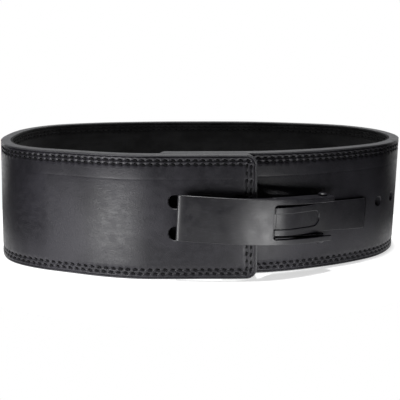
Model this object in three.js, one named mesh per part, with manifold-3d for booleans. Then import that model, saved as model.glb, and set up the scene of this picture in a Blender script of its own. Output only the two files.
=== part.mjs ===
// A weightlifting belt with a lever buckle: a thick leather strap closed into an upright oval loop,
// lined with suede, and fastened at the front by a steel lever that hooks two prongs into the flap.
// Millimetres, +Z up. The belt stands on its bottom edge, and the camera side (front) faces -Y.

import * as THREE from "three";
import { mergeVertices } from "three/addons/utils/BufferGeometryUtils.js";
import Module from "manifold-3d";

const wasm = await Module();
wasm.setup();

// Belt
const beltHeight = 100;
const leatherThickness = 8.4;
const liningThickness = 1.3;
const gluedSeam = 0.3;
const edgeBevel = 1.2;
const cornerRadius = 8;
const loopWidth = 358;
const loopDepth = 214.5;
const stationStep = 6.5;
const cornerSteps = 5;

// Overlap at the front, as distances along the loop from its front centre
const innerReach = 36;
const flapReach = 44;
const rampLength = 85;
const layerGap = 0.4;
const flapLean = 0.055;

// Holes punched in the strap
const prongHoleDiameter = 11;
const prongPitch = 25.4;
const prongSpread = 25.4;
const prongPairs = 3;
const prongsAt = 30.8;
const screwHoleDiameter = 8;
const screwPitch = 25.4;
const screwHoles = 5;
const firstScrewAt = 115.2;
const roundSides = 20;
const faceSteps = 30;
const wallSteps = 12;
const flatSteps = 4;
const earSteps = 9;

// Lever
const leverWidth = 37.1;
const leverThickness = 2.5;
const leverEndAt = -18.6;
const leverTipAt = 107;
const leverLift = 9.4;
const windowAt = 54.7;
const windowWidth = 28.3;
const windowRadius = 3;
const eyeGap = 0.65;

// Mounting plate
const plateThickness = 2.6;
const plateSideGap = 0.3;
const plateNeckInset = 1.4;
const plateEndAt = 146.3;
const plateLandingAt = 114;
const plateCornerRadius = 1.5;
const plateGap = 0.5;
const recessWidth = 13;
const recessDepth = 0.9;
const recessEndAt = 97;

// Hook plate, pivot pin, rivets and screws
const hookThickness = 2.3;
const hookStartAt = 18;
const hookEndAt = 46.5;
const hookClearance = 0.6;
const prongDiameter = 6;
const prongLength = 9;
const earGap = 0.6;
const earWall = 1.5;
const pinDiameter = 5;
const pinAt = 55.5;
const eyeWall = 2;
const rivetDiameter = 4.6;
const rivetHeadDiameter = 8;
const rivetHeadHeight = 2;
const rivetHeadBevel = 1;
const rivetAt = 98.5;
const rivetRise = 6.8;
const runningGap = 0.3;
const screwHeadDiameter = 14;
const screwHeadHeight = 1.5;
const buckleRoll = THREE.MathUtils.degToRad(2.6);
const prongDrop = 1.8;

// Worked out from the sizes above
const beltThickness = leatherThickness + gluedSeam + liningThickness;
const flapLift = beltThickness + layerGap + (flapLean * beltHeight) / 2;
const leverTop = flapLift + leverLift;
const leverReach = leverTipAt - leverEndAt;
const eyeRadius = pinDiameter / 2 + runningGap + eyeWall;
const pinRise = leverTop - leverThickness - eyeGap - eyeRadius;
const armFace = leverWidth / 2 - leverThickness - earGap;
const hookWidth = 2 * armFace;
const plateWidth = 2 * (armFace - hookThickness - plateSideGap);
const plateNeckWidth = plateWidth - 2 * plateNeckInset;
const midHeight = beltHeight / 2;
const overshoot = 1;

// The oval seen from above, as shares of half the loop's width (across) and depth (deep),
// anticlockwise from the front centre: the outer face of the strap's inner turn.
const ovalRows = [
  { across: -0.011, deep: -1 },
  { across: 0.268, deep: -0.99 },
  { across: 0.492, deep: -0.893 },
  { across: 0.715, deep: -0.72 },
  { across: 0.883, deep: -0.51 },
  { across: 0.983, deep: -0.221 },
  { across: 1, deep: 0.058 },
  { across: 0.944, deep: 0.394 },
  { across: 0.805, deep: 0.674 },
  { across: 0.575, deep: 0.851 },
  { across: 0.296, deep: 0.972 },
  { across: -0.011, deep: 1 },
  { across: -0.318, deep: 0.981 },
  { across: -0.598, deep: 0.902 },
  { across: -0.827, deep: 0.73 },
  { across: -0.95, deep: 0.441 },
  { across: -0.997, deep: 0.021 },
  { across: -0.983, deep: -0.333 },
  { across: -0.905, deep: -0.632 },
  { across: -0.737, deep: -0.846 },
  { across: -0.514, deep: -0.958 },
  { across: -0.263, deep: -0.995 },
];

// How far the bottom edge stands outside the top edge, as a share of the belt's height,
// at shares of the way round the loop.
const leanRows = [
  { along: -0.05, lean: 0 },
  { along: 0.05, lean: 0 },
  { along: 0.12, lean: -0.025 },
  { along: 0.19, lean: -0.035 },
  { along: 0.28, lean: -0.01 },
  { along: 0.5, lean: 0 },
  { along: 0.75, lean: 0.01 },
  { along: 0.84, lean: 0.04 },
  { along: 0.9, lean: flapLean },
  { along: 1.1, lean: flapLean },
];

// The lever's outer face from its finger end to its tips: shares of its length and of its top height.
const leverRows = [
  { along: -0.004, rise: 0.76 },
  { along: 0, rise: 0.82 },
  { along: 0.016, rise: 0.865 },
  { along: 0.07, rise: 0.905 },
  { along: 0.16, rise: 0.95 },
  { along: 0.33, rise: 1 },
  { along: 0.5, rise: 0.985 },
  { along: 0.62, rise: 0.935 },
  { along: 0.8, rise: 0.76 },
  { along: 1, rise: 0.52 },
];

// The lower edge of the lever's two side walls, in the same shares.
const sideWallRows = [
  { along: 0.3, rise: 0.94 },
  { along: 0.4, rise: 0.84 },
  { along: 0.5, rise: 0.73 },
  { along: 0.56, rise: 0.63 },
  { along: 0.61, rise: 0.5 },
  { along: 0.7, rise: 0.4 },
  { along: 0.82, rise: 0.2 },
  { along: 0.9, rise: 0.13 },
  { along: 0.955, rise: 0.13 },
  { along: 1, rise: 0.27 },
];

// The mounting plate's outer face from the top of its eye to where it lands on the belt:
// shares of that distance and of the eye's height.
const plateRows = [
  { along: 0, rise: 1 },
  { along: 0.2, rise: 0.91 },
  { along: 0.5, rise: 0.58 },
  { along: 0.8, rise: 0.235 },
];

// The hook plate's side arms beyond the plate: shares of the way to the rivets and of the plate's height.
const armTopRows = [
  { along: 0, rise: 1 },
  { along: 0.12, rise: 0.76 },
  { along: 0.2, rise: 0.65 },
  { along: 0.45, rise: 0.58 },
];
const armBottomRows = [
  { along: 0.45, rise: 0.2 },
  { along: 0.24, rise: 0.24 },
  { along: 0.1, rise: 0.5 },
  { along: 0, rise: 0.855 },
];

const leather = new THREE.MeshStandardMaterial({ color: "#2a2b2e", roughness: 0.62, metalness: 0 });
const suede = new THREE.MeshStandardMaterial({ color: "#0c0c0d", roughness: 0.95, metalness: 0 });
const blackSteel = new THREE.MeshStandardMaterial({ color: "#1b1c1f", roughness: 0.45, metalness: 0.35 });

const outline = new THREE.CatmullRomCurve3(
  ovalRows.map((row) => new THREE.Vector3((row.across * loopWidth) / 2, (row.deep * loopDepth) / 2, 0)),
  true,
  "centripetal",
);
outline.arcLengthDivisions = 1400;
const loopLength = outline.getLength();
const flapEndAt = loopLength + flapReach;

// A value read from rows of { along, [column] }, eased between neighbouring rows.
function readRows(rows, column, along) {
  const after = Math.max(1, rows.findIndex((row) => row.along >= along));
  const [low, high] = [rows[after - 1], rows[after]];
  const share = THREE.MathUtils.smoothstep(along, low.along, high.along);
  return THREE.MathUtils.lerp(low[column], high[column], share);
}

// How far the strap's outer face has moved out from the oval: nothing on the inner turn,
// a whole belt thickness where the flap lies over it.
function liftAt(along) {
  const rampEnd = loopLength - innerReach - cornerRadius / 2;
  return flapLift * THREE.MathUtils.smoothstep(along, rampEnd - rampLength, rampEnd);
}

const leanAt = (along) => readRows(leanRows, "lean", along / loopLength);

function pathAt(along) {
  const share = THREE.MathUtils.euclideanModulo(along / loopLength, 1);
  const tangent = outline.getTangentAt(share);
  const outward = new THREE.Vector3(tangent.y, -tangent.x, 0);
  return { centre: outline.getPointAt(share), tangent, outward };
}

// A point at a distance along the loop, a distance outside the strap's face, and a height.
function onBelt(along, outside, height) {
  const { centre, outward } = pathAt(along);
  const reach = liftAt(along) + outside + leanAt(along) * (midHeight - height);
  return centre.addScaledVector(outward, reach).setZ(height);
}

// The frame of the strap's face there: x along the strap, y up the face, z out of it.
function faceFrame(along, outside, height) {
  const { tangent, outward } = pathAt(along);
  const up = new THREE.Vector3(0, 0, 1).addScaledVector(outward, -leanAt(along)).normalize();
  const out = new THREE.Vector3().crossVectors(tangent, up);
  return new THREE.Matrix4().makeBasis(tangent, up, out).setPosition(onBelt(along, outside, height));
}

function solidOf(geometry) {
  const bare = geometry.index ? geometry.toNonIndexed() : geometry.clone();
  bare.deleteAttribute("normal");
  bare.deleteAttribute("uv");
  const merged = mergeVertices(bare, 1e-4);
  const mesh = new wasm.Mesh({
    numProp: 3,
    vertProperties: merged.attributes.position.array,
    triVerts: new Uint32Array(merged.index.array),
  });
  return new wasm.Manifold(mesh);
}

function geometryOf(solid) {
  const { vertProperties, triVerts } = solid.getMesh();
  const geometry = new THREE.BufferGeometry();
  geometry.setAttribute("position", new THREE.BufferAttribute(vertProperties, 3));
  geometry.setIndex(new THREE.BufferAttribute(triVerts, 1));
  geometry.computeVertexNormals();
  return geometry;
}

function named(name, geometry, material) {
  const mesh = new THREE.Mesh(geometry, material);
  mesh.name = name;
  return mesh;
}

// Skins a row of convex rings, each with the same number of corners, and closes both ends.
function loft(rings) {
  const corners = rings[0].length;
  const at = (ring, corner) => ring * corners + (corner % corners);
  const faces = [];
  for (let ring = 0; ring + 1 < rings.length; ring += 1) {
    for (let corner = 0; corner < corners; corner += 1) {
      faces.push(at(ring, corner), at(ring + 1, corner), at(ring + 1, corner + 1));
      faces.push(at(ring, corner), at(ring + 1, corner + 1), at(ring, corner + 1));
    }
  }
  for (let corner = 1; corner + 1 < corners; corner += 1) {
    faces.push(at(0, 0), at(0, corner), at(0, corner + 1));
    faces.push(at(rings.length - 1, 0), at(rings.length - 1, corner + 1), at(rings.length - 1, corner));
  }
  const geometry = new THREE.BufferGeometry().setFromPoints(rings.flat());
  geometry.setIndex(faces);
  return geometry;
}

// Places along the strap where it is sectioned: evenly, and closer round the corners of both ends.
function strapStations() {
  const stations = [];
  for (let step = 0; step < cornerSteps; step += 1) {
    stations.push(cornerRadius * (1 - Math.cos((step / cornerSteps) * (Math.PI / 2))));
  }
  const straight = flapEndAt + innerReach - 2 * cornerRadius;
  const spans = Math.ceil(straight / stationStep);
  const middle = Array.from({ length: spans + 1 }, (_, span) => cornerRadius + (span * straight) / spans);
  const total = flapEndAt + innerReach;
  const last = stations.map((from) => total - from).reverse();
  return [...stations, ...middle, ...last].map((from) => from - innerReach);
}

// How much of the height a rounded corner takes off, top and bottom, near either end of the strap.
function cornerInset(along) {
  const fromEnd = Math.min(along + innerReach, flapEndAt - along);
  const inside = Math.max(0, cornerRadius - fromEnd);
  return cornerRadius - Math.sqrt(cornerRadius ** 2 - inside ** 2);
}

// One layer of the strap between two depths below its outer face, with its outer edges bevelled.
function strapLayer(outerDepth, innerDepth, bevel) {
  const rings = strapStations().map((along) => {
    const low = cornerInset(along);
    const high = beltHeight - low;
    return [
      onBelt(along, -innerDepth, low),
      onBelt(along, -outerDepth - bevel, low),
      onBelt(along, -outerDepth, low + bevel),
      onBelt(along, -outerDepth, high - bevel),
      onBelt(along, -outerDepth - bevel, high),
      onBelt(along, -innerDepth, high),
    ];
  });
  return solidOf(loft(rings));
}

// A round cutter through the strap at a place on its face.
function punch(along, height, diameter) {
  const depth = beltThickness + layerGap / 2;
  const cutter = new THREE.CylinderGeometry(diameter / 2, diameter / 2, depth + overshoot, roundSides);
  cutter.rotateX(Math.PI / 2).translate(0, 0, (overshoot - depth) / 2);
  return solidOf(cutter.applyMatrix4(faceFrame(along, 0, height)));
}

const pitched = (first, pitch, count) => Array.from({ length: count }, (_, step) => first + step * pitch);
const screwPlaces = pitched(firstScrewAt, screwPitch, screwHoles);
const prongPlaces = pitched(loopLength + prongsAt, -prongPitch, prongPairs);

const strapHoles = [
  ...screwPlaces.map((along) => punch(along, midHeight, screwHoleDiameter)),
  ...prongPlaces.flatMap((along) => [
    punch(along, midHeight - prongSpread / 2, prongHoleDiameter),
    punch(along, midHeight + prongSpread / 2, prongHoleDiameter),
  ]),
];

const punched = (layer) => geometryOf(strapHoles.reduce((solid, hole) => solid.subtract(hole), layer));

function makeStrap() {
  const group = new THREE.Group();
  const lining = strapLayer(leatherThickness + gluedSeam, beltThickness, gluedSeam);
  group.add(named("belt_leather", punched(strapLayer(0, leatherThickness, edgeBevel)), leather));
  group.add(named("suede_lining", punched(lining), suede));
  return group;
}

// The buckle is drawn in the frame of its seat, half way between the two screws that hold it:
// x along the strap, y up, z out. Its plan profiles follow the strap from there to the flap.
const seatAt = firstScrewAt + screwPitch / 2;
const seatFrame = faceFrame(seatAt, 0, midHeight);

function seatPoint(along, rise) {
  const point = onBelt(along, rise, midHeight).applyMatrix4(seatFrame.clone().invert());
  return new THREE.Vector2(point.x, point.z);
}

// A plan outline pushed up and down to a width, with its middle at a height in the seat's frame.
function upright(points, width, middle = 0) {
  const body = new THREE.ExtrudeGeometry(new THREE.Shape(points), { depth: width, bevelEnabled: false });
  return solidOf(body.translate(0, 0, -width / 2).rotateX(Math.PI / 2).translate(0, middle, 0));
}

// A bar along y, round the point of a plan profile.
function bar(centre, diameter, length, middle = 0) {
  const round = new THREE.CylinderGeometry(diameter / 2, diameter / 2, length, roundSides);
  return solidOf(round.translate(centre.x, middle, centre.y));
}

// An outline seen from the front, pushed through the whole depth of the buckle.
function through(shape) {
  const depth = 4 * leverTop;
  const block = new THREE.ExtrudeGeometry(shape, { depth, bevelEnabled: false });
  return solidOf(block.translate(0, 0, -depth / 2));
}

// A plan line moved a distance square to itself, towards the belt.
function movedIn(line, distance) {
  return line.map((point, index) => {
    const before = line[Math.max(0, index - 1)];
    const after = line[Math.min(line.length - 1, index + 1)];
    const along = after.clone().sub(before).normalize();
    return new THREE.Vector2(point.x + along.y * distance, point.y - along.x * distance);
  });
}

// The outline of sheet metal in plan: an outer face, and a face one thickness inside it.
const sheetOutline = (outer, thickness) => [...outer, ...movedIn(outer, thickness).reverse()];

const evenly = (count) => Array.from({ length: count }, (_, index) => index / (count - 1));

const smooth = (points, count) => new THREE.SplineCurve(points).getPoints(count);

const pinCentre = seatPoint(pinAt, pinRise);
const rivetCentre = seatPoint(rivetAt, rivetRise);
const leverPoint = ({ along, rise }) => seatPoint(leverEndAt + along * leverReach, rise * leverTop);
const wallMiddle = (leverWidth - leverThickness) / 2;
const bothSides = [-1, 1];

// The lever: a curved plate with a window, and a side wall along each arm for the pin and the rivets.
function makeLever() {
  const face = smooth(leverRows.map(leverPoint), faceSteps);
  const wallTop = face.filter((point) => point.x > leverPoint(sideWallRows[0]).x);
  const wall = [...wallTop, ...smooth(sideWallRows.map(leverPoint), wallSteps).reverse()];
  const left = seatPoint(windowAt, leverTop).x;
  const right = leverPoint(leverRows.at(-1)).x + leverTop;
  const inner = left + windowRadius;
  const cornerHeight = windowWidth / 2 - windowRadius;
  const window = new THREE.Shape()
    .moveTo(right, -windowWidth / 2)
    .lineTo(right, windowWidth / 2)
    .lineTo(inner, windowWidth / 2)
    .absarc(inner, cornerHeight, windowRadius, Math.PI / 2, Math.PI, false)
    .absarc(inner, -cornerHeight, windowRadius, Math.PI, 1.5 * Math.PI, false);
  let lever = upright(sheetOutline(face, leverThickness), leverWidth).subtract(through(window));
  for (const side of bothSides) lever = lever.add(upright(wall, leverThickness, side * wallMiddle));
  lever = lever.subtract(bar(pinCentre, pinDiameter + 2 * runningGap, leverWidth + overshoot));
  lever = lever.subtract(bar(rivetCentre, rivetDiameter + 2 * runningGap, leverWidth + overshoot));
  return named("lever", geometryOf(lever), blackSteel);
}

// The mounting plate: an eye round the pivot pin, then a strap that comes down onto the belt
// and lies along it over the screws, with a round-ended recess in its face.
function makeMountingPlate() {
  const landing = plateGap + plateThickness;
  const rise = pinRise + eyeRadius;
  const { lerp } = THREE.MathUtils;
  const slope = plateRows.map((row) => seatPoint(lerp(pinAt, plateLandingAt, row.along), row.rise * rise));
  const lying = evenly(flatSteps).map((share) => seatPoint(lerp(plateLandingAt, plateEndAt, share), landing));
  const face = smooth([...slope, ...lying], faceSteps);
  const start = pinCentre.x - 2 * eyeRadius;
  const end = face.at(-1).x - plateCornerRadius;
  const cornerHeight = plateWidth / 2 - plateCornerRadius;
  const outlineShape = new THREE.Shape()
    .moveTo(start, -plateNeckWidth / 2)
    .lineTo(end, -plateWidth / 2)
    .absarc(end, -cornerHeight, plateCornerRadius, -Math.PI / 2, 0, false)
    .absarc(end, cornerHeight, plateCornerRadius, 0, Math.PI / 2, false)
    .lineTo(start, plateNeckWidth / 2);
  const recessEnd = seatPoint(recessEndAt, 0).x - recessWidth / 2;
  const recessShape = new THREE.Shape()
    .moveTo(start, -recessWidth / 2)
    .lineTo(recessEnd, -recessWidth / 2)
    .absarc(recessEnd, 0, recessWidth / 2, -Math.PI / 2, Math.PI / 2, false)
    .lineTo(start, recessWidth / 2);
  const skin = upright(sheetOutline(movedIn(face, -eyeRadius), eyeRadius + recessDepth), plateWidth);
  const besideEye = new THREE.Shape()
    .moveTo(start, -recessWidth / 2)
    .lineTo(pinCentre.x, -recessWidth / 2)
    .lineTo(pinCentre.x, recessWidth / 2)
    .lineTo(start, recessWidth / 2);
  const eyeSkin = bar(pinCentre, 4 * eyeRadius, plateWidth)
    .subtract(bar(pinCentre, 2 * (eyeRadius - recessDepth), plateWidth + overshoot))
    .intersect(through(besideEye));
  const strap = upright(sheetOutline(face, plateThickness), plateWidth)
    .add(bar(pinCentre, 2 * eyeRadius, plateWidth))
    .intersect(through(outlineShape))
    .subtract(skin.intersect(through(recessShape)))
    .subtract(eyeSkin)
    .subtract(bar(pinCentre, pinDiameter + 2 * runningGap, plateWidth + overshoot));
  return named("mounting_plate", geometryOf(strap), blackSteel);
}

// The hook plate: a cross plate over the flap with two prongs in its holes, and an arm along each side
// that passes under the pivot pin to the rivet.
function makeHookPlate() {
  const underside = flapLift + (flapLean * hookWidth) / 2 + hookClearance;
  const top = underside + hookThickness;
  const reach = rivetAt - hookEndAt;
  const armPoint = ({ along, rise }) => seatPoint(hookEndAt + along * reach, rise * top);
  const armMiddle = armFace - hookThickness / 2;
  const earRadius = rivetDiameter / 2 + earWall;
  const crossLength = hookEndAt - hookStartAt;
  const crossFace = evenly(flatSteps).map((share) => seatPoint(hookStartAt + share * crossLength, top));
  const cross = sheetOutline(crossFace, hookThickness);
  const ear = evenly(earSteps).map((share) => {
    const angle = (0.5 - share) * Math.PI;
    const spoke = new THREE.Vector2(Math.cos(angle), Math.sin(angle));
    return rivetCentre.clone().addScaledVector(spoke, earRadius);
  });
  const arm = [...armTopRows.map(armPoint), ...ear, ...armBottomRows.map(armPoint)];
  let hook = upright(cross, hookWidth);
  for (const side of bothSides) hook = hook.add(upright(arm, hookThickness, side * armMiddle));
  hook = hook.subtract(bar(rivetCentre, rivetDiameter + 2 * runningGap, leverWidth));
  const prongCentre = seatPoint(prongsAt, underside);
  const inward = seatPoint(prongsAt, 0).sub(prongCentre).normalize();
  const turn = Math.atan2(-inward.x, -inward.y);
  const prongRadius = prongDiameter / 2;
  const reachIn = prongLength + hookThickness;
  for (const side of bothSides) {
    const prong = new THREE.CylinderGeometry(prongRadius, prongRadius, reachIn, roundSides);
    prong.rotateX(Math.PI / 2).translate(0, 0, (hookThickness - prongLength) / 2 - overshoot / 2);
    prong.rotateY(turn).translate(prongCentre.x, (side * prongSpread) / 2, prongCentre.y);
    hook = hook.add(solidOf(prong));
  }
  return named("hook_plate", geometryOf(hook), blackSteel);
}

function makePivotPin() {
  return named("pivot_pin", geometryOf(bar(pinCentre, pinDiameter, leverWidth)), blackSteel);
}

// A rivet through one arm of the lever and the hook plate's arm inside it, its head outside.
function makeRivet(name, side) {
  const innerFace = armFace - hookThickness;
  const headFace = leverWidth / 2 + runningGap;
  const tail = headFace + overshoot / 2 - innerFace;
  const shank = bar(rivetCentre, rivetDiameter, tail, side * (innerFace + tail / 2));
  const wide = rivetHeadDiameter / 2;
  const head = new THREE.CylinderGeometry(wide - rivetHeadBevel, wide, rivetHeadHeight, roundSides);
  head.translate(0, headFace + rivetHeadHeight / 2, 0);
  if (side < 0) head.rotateX(Math.PI);
  head.translate(rivetCentre.x, 0, rivetCentre.y);
  return named(name, geometryOf(shank.add(solidOf(head))), blackSteel);
}

// A screw from inside the belt: a low wide head on the lining and a shank up to the mounting plate.
function makeScrew(name, along) {
  const shankDiameter = screwHoleDiameter - 2 * runningGap;
  const shankLength = beltThickness + runningGap;
  const profile = [
    new THREE.Vector2(0, 0),
    new THREE.Vector2(screwHeadDiameter / 2 - screwHeadHeight / 2, 0),
    new THREE.Vector2(screwHeadDiameter / 2, screwHeadHeight / 2),
    new THREE.Vector2(screwHeadDiameter / 2, screwHeadHeight),
    new THREE.Vector2(shankDiameter / 2, screwHeadHeight),
    new THREE.Vector2(shankDiameter / 2, screwHeadHeight + shankLength),
    new THREE.Vector2(0, screwHeadHeight + shankLength),
  ];
  const turned = new THREE.LatheGeometry(profile, roundSides).rotateX(Math.PI / 2);
  turned.translate(0, 0, -beltThickness - runningGap - screwHeadHeight);
  const screw = named(name, turned, blackSteel);
  screw.applyMatrix4(faceFrame(along, 0, midHeight));
  return screw;
}

// The whole buckle turns a little about its seat, and its prongs bear on the lower side of the flap's holes.
function makeBuckle() {
  const buckle = new THREE.Group();
  const turned = new THREE.Group();
  turned.add(makeLever(), makeMountingPlate(), makeHookPlate(), makePivotPin());
  turned.add(makeRivet("upper_rivet", 1), makeRivet("lower_rivet", -1));
  turned.rotation.z = -buckleRoll;
  turned.position.y = seatPoint(prongsAt, flapLift).x * Math.sin(buckleRoll) - prongDrop;
  buckle.add(turned);
  buckle.applyMatrix4(seatFrame);
  return buckle;
}

const belt = new THREE.Group();
belt.add(makeStrap(), makeBuckle());
belt.add(makeScrew("left_screw", screwPlaces[0]), makeScrew("right_screw", screwPlaces[1]));

// The origin is under the middle of the whole part, on the surface it stands on.
const box = new THREE.Box3().setFromObject(belt, true);
const middle = box.getCenter(new THREE.Vector3());
belt.position.set(-middle.x, -middle.y, -box.min.z);

export default belt;
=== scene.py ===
"""A black leather weightlifting belt with a steel lever buckle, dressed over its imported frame.

The strap is modelled flat, with its holes, stitch channels and puckers, and is then bent along the
belt's oval. Flat places are (along, depth, height): the distance along the strap from the front
centre, the depth below its outer face, and the height above its bottom edge, all in metres.
"""

import logging
import math
from contextlib import contextmanager
from dataclasses import dataclass
from enum import Enum
from typing import Iterator, Sequence

import bpy
import numpy as np
from mathutils import Matrix, Vector
from mathutils.kdtree import KDTree


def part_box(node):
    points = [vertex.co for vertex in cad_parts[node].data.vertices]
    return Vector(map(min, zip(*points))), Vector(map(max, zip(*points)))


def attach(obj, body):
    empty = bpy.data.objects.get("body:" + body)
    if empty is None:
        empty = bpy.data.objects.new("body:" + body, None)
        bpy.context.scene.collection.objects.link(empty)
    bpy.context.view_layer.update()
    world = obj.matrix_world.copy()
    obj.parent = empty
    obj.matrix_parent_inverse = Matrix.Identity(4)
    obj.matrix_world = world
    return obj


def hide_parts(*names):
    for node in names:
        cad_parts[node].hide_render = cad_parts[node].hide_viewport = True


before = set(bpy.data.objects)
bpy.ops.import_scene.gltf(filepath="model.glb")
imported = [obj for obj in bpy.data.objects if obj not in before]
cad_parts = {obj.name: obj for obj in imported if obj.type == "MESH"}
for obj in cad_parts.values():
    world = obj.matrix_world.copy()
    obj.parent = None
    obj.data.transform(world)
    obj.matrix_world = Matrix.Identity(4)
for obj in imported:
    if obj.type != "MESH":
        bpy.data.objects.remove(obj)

LOG = logging.getLogger("belt")

Array = np.ndarray
Item = bpy.types.Object
Material = bpy.types.Material
Socket = bpy.types.NodeSocket
Pair = tuple[float, float]
Triple = tuple[float, float, float]

# Distances in metres: places this close are one, doubled points of fine meshes are merged below
# this, and the slack in telling a face or an edge from what lies beside it.
TOUCH = 1e-6
MERGE_FINE = 1e-7
SLACK = 0.0002


class Slot(Enum):
    """The record's material slots."""

    LEATHER = "leather"
    SUEDE = "suede"
    STEEL = "black_steel"


class Domain(Enum):
    """What a selection in edit mode is made of."""

    EDGES = (False, True, False)
    FACES = (False, False, True)


# Shared modelling steps


def select_none() -> None:
    """Clears the scene's selection."""
    bpy.ops.object.select_all(action="DESELECT")


def pick(*items: Item) -> Item:
    """Selects only these objects, makes the first one active and returns it."""
    select_none()
    for item in items:
        item.select_set(True)
    bpy.context.view_layer.objects.active = items[0]
    return items[0]


@contextmanager
def editing(item: Item, domain: Domain = Domain.FACES) -> Iterator[None]:
    """Edit mode on one mesh, for its edges or its faces, left again at the end."""
    pick(item)
    bpy.context.tool_settings.mesh_select_mode = domain.value
    bpy.ops.object.mode_set(mode="EDIT")
    try:
        yield
    finally:
        bpy.ops.object.mode_set(mode="OBJECT")


def add_object(name: str, data: bpy.types.ID) -> Item:
    """Puts a mesh, a light or a camera into the scene as a named object."""
    item = bpy.data.objects.new(name, data)
    bpy.context.scene.collection.objects.link(item)
    return item


def read(parts: bpy.types.bpy_prop_collection, name: str, width: int, kind: type = float) -> Array:
    """One property of all of a mesh's points, edges, faces or corners, a row each."""
    values = np.empty(len(parts) * width, dtype=kind)
    parts.foreach_get(name, values)
    return values.reshape(-1, width)


def read_points(item: Item) -> Array:
    """The mesh's vertex places, a row each."""
    return read(item.data.vertices, "co", 3)


def write_points(item: Item, places: Array) -> None:
    """Moves the mesh's vertices to these places."""
    item.data.vertices.foreach_set("co", places.ravel())
    item.data.update()


def edge_ends(item: Item) -> tuple[Array, Array]:
    """The places of both ends of every edge."""
    first, second = read(item.data.edges, "vertices", 2, int).T
    places = read_points(item)
    return places[first], places[second]


def face_centres(item: Item) -> Array:
    """The middle of every face, a row each."""
    return read(item.data.polygons, "center", 3)


def mark(item: Item, domain: Domain, chosen: Array) -> None:
    """Sets which edges or faces edit mode finds selected, by a true or false value for each."""
    mesh = item.data
    for part in (mesh.vertices, mesh.edges, mesh.polygons):
        part.foreach_set("select", np.zeros(len(part), dtype=bool))
    part = mesh.edges if domain is Domain.EDGES else mesh.polygons
    part.foreach_set("select", np.asarray(chosen, dtype=bool))


def mark_level(item: Item, axis: int, level: float) -> None:
    """Selects the faces whose middles lie at one level of an axis."""
    mark(item, Domain.FACES, np.abs(face_centres(item)[:, axis] - level) < TOUCH)


def extrude(step: Triple) -> None:
    """Draws what is selected out by one step."""
    bpy.ops.mesh.extrude_region_move(TRANSFORM_OT_translate={"value": step})


def shoulder(first: Triple, scale: Triple, centre: Sequence[float], second: Triple) -> None:
    """Draws the selected end out, resizes it about a centre and draws it out again."""
    extrude(first)
    bpy.ops.transform.resize(value=scale, center_override=centre)
    extrude(second)


def apply_modifier(item: Item, kind: str, **settings: object) -> None:
    """Adds a modifier of Blender's own type name with these settings and applies it."""
    modifier = item.modifiers.new(kind.title(), kind)
    for key, value in settings.items():
        setattr(modifier, key, value)
    pick(item)
    bpy.ops.object.modifier_apply(modifier=modifier.name)


def place_at_origin(item: Item, drawn_in: Matrix | None = None) -> None:
    """Applies the object's own place, then carries its mesh out of the frame it was drawn in."""
    pick(item)
    bpy.ops.object.transform_apply(location=True, rotation=True, scale=True)
    if drawn_in is not None:
        item.data.transform(drawn_in)
        item.data.update()


def turn_faces_out(item: Item, merge: float = TOUCH) -> None:
    """Merges doubled points and makes every face point outwards."""
    mark(item, Domain.FACES, np.ones(len(item.data.polygons)))
    with editing(item):
        bpy.ops.mesh.remove_doubles(threshold=merge)
        bpy.ops.mesh.normals_make_consistent(inside=False)


def shade(item: Item, degrees: float) -> None:
    """Shades smooth, but keeps edges sharper than an angle."""
    pick(item)
    bpy.ops.object.shade_smooth_by_angle(angle=math.radians(degrees))


def new_cylinder(name: str, radius: float, low: Vector, high: Vector, sides: int) -> Item:
    """A cylinder from one point to another, with its place applied."""
    select_none()
    axis = high - low
    turn = axis.to_track_quat("Z", "Y").to_euler()
    bpy.ops.mesh.primitive_cylinder_add(
        vertices=sides, radius=radius, depth=axis.length, location=(low + high) / 2, rotation=turn
    )
    cylinder = bpy.context.object
    cylinder.name = name
    place_at_origin(cylinder)
    return cylinder


def cut_away(item: Item, cutters: Sequence[Item]) -> None:
    """Joins the cutters, cuts them out of the object and deletes them."""
    cutter = pick(*cutters)
    if len(cutters) > 1:
        bpy.ops.object.join()
    turn_faces_out(cutter)
    apply_modifier(item, "BOOLEAN", operation="DIFFERENCE", solver="EXACT", object=cutter)
    bpy.data.objects.remove(cutter)


def settle(piece: Item, nodes: Sequence[str], materials: Sequence[Material]) -> None:
    """Dresses a finished piece and ties it to the frame.

    Args:
        piece: the finished mesh object.
        nodes: the frame's nodes that it stands for.
        materials: its materials, in the order of its faces' numbers.
    """
    piece.data.materials.clear()
    for material in materials:
        piece.data.materials.append(material)
    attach(piece, "root")
    if nodes:
        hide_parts(*nodes)
    LOG.info("%s: %d faces, for %s", piece.name, len(piece.data.polygons), ", ".join(nodes) or "no node")


def smoothstep(value: Array, low: float, high: float) -> Array:
    """Eases a value from nought at low to one at high."""
    share = np.clip((np.asarray(value, dtype=float) - low) / (high - low), 0, 1)
    return share * share * (3 - 2 * share)


def ease_between(rows: Sequence[Pair], where: Array) -> Array:
    """Reads rows of (place, value), eased between neighbours."""
    value = np.full(np.shape(where), rows[0][1], dtype=float)
    for (start, before), (end, after) in zip(rows, rows[1:]):
        value = value + (after - before) * smoothstep(where, start, end)
    return value


# The bent strap


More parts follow.
